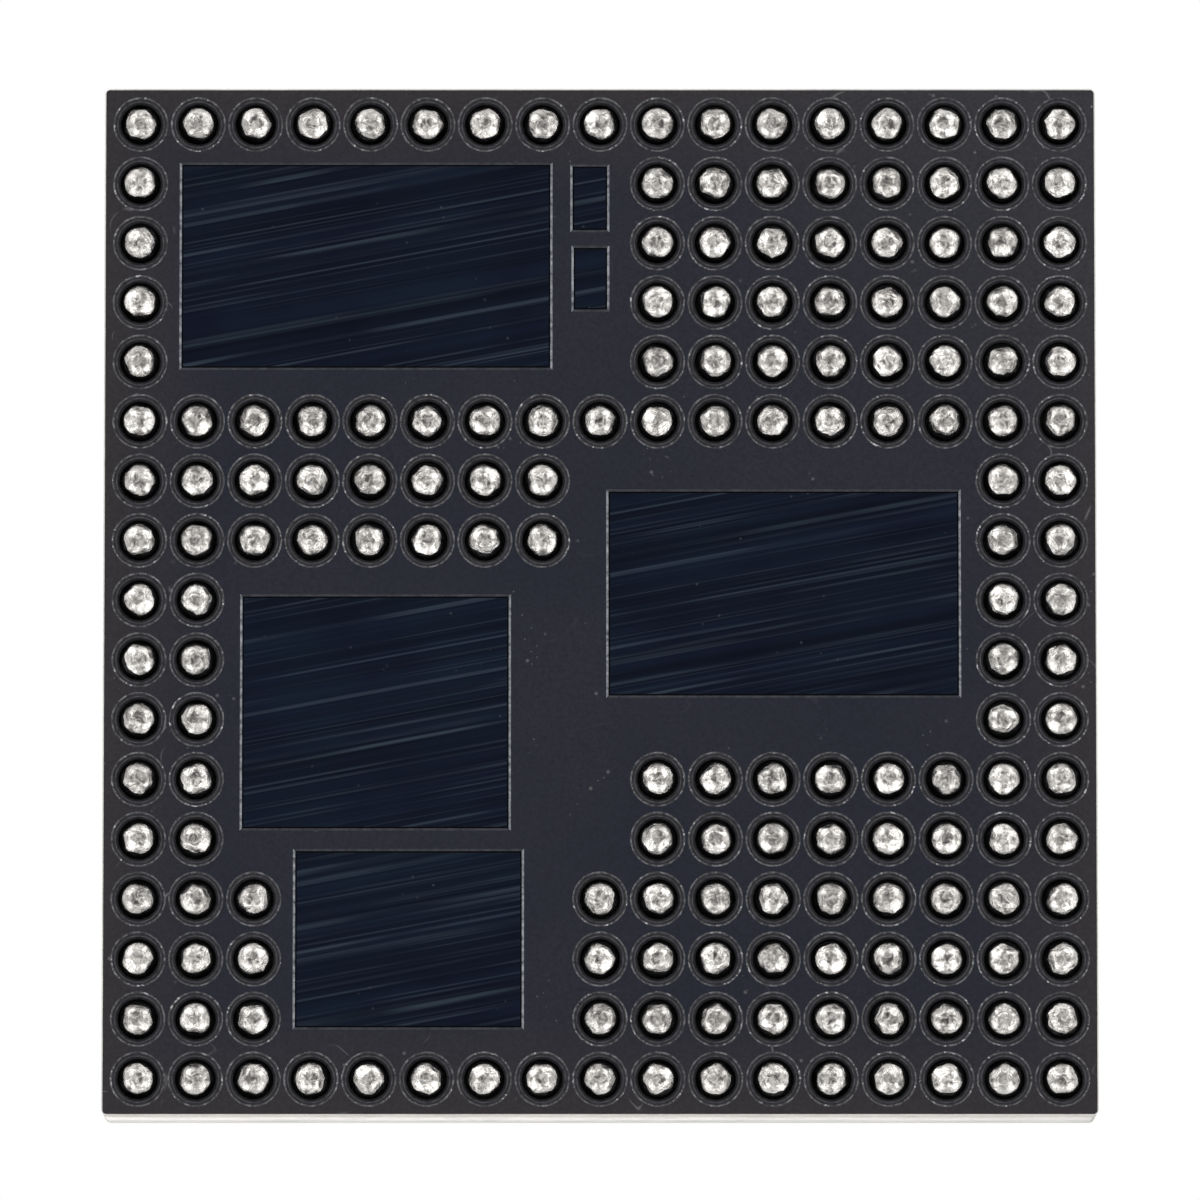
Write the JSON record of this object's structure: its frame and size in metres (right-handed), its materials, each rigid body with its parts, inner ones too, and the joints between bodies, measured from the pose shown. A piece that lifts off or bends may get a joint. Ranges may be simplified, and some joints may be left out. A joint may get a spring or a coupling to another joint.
{
  "type": "amplifier chip",
  "caption": "Square radio amplifier module with a metal-skinned lid, and on its other face solder balls in moulded wells round exposed dies.",
  "frame": {"origin": "middle of the plane that the solder ball tips rest on", "axes": "+Z out of the lid; with the lid seen from above and its pin-1 ring at the upper left, +X runs right and +Y up"},
  "size_m": [0.0082, 0.0086, 0.0011],
  "materials": {
    "shield_metal": "matt sputtered metal, warm silver grey",
    "moulding": "ground charcoal moulding compound",
    "laminate": "glass laminate, sawn edge",
    "solder": "bright reflowed solder",
    "silicon": "ground silicon back, fine straight grind marks",
    "copper": "plated copper",
    "ceramic": "fired ceramic"
  },
  "bodies": {
    "root": {"emi_shield": "shield_metal", "upper_mould": "moulding", "board": "laminate", "lower_mould": "moulding", "ball_row_a": "solder", "ball_row_b": "solder", "ball_row_c": "solder", "ball_row_d": "solder", "ball_row_e": "solder", "ball_row_f": "solder", "ball_row_g": "solder", "ball_row_h": "solder", "ball_row_j": "solder", "ball_row_k": "solder", "ball_row_l": "solder", "ball_row_m": "solder", "ball_row_n": "solder", "ball_row_p": "solder", "ball_row_r": "solder", "ball_row_t": "solder", "ball_row_u": "solder", "upper_die": "silicon", "upper_die_pillars": "copper", "middle_die": "silicon", "middle_die_pillars": "copper", "lower_die": "silicon", "lower_die_pillars": "copper", "corner_die": "silicon", "corner_die_pillars": "copper", "small_chip_upper": "silicon", "small_chip_upper_pillars": "copper", "small_chip_lower": "silicon", "small_chip_lower_pillars": "copper", "amplifier_die_1": "silicon", "amplifier_die_2": "silicon", "filter_1": "ceramic", "filter_2": "ceramic", "filter_3": "ceramic", "filter_4": "ceramic", "chip_inductors": "ceramic", "chip_capacitors": "ceramic"}
  },
  "joints": []
}
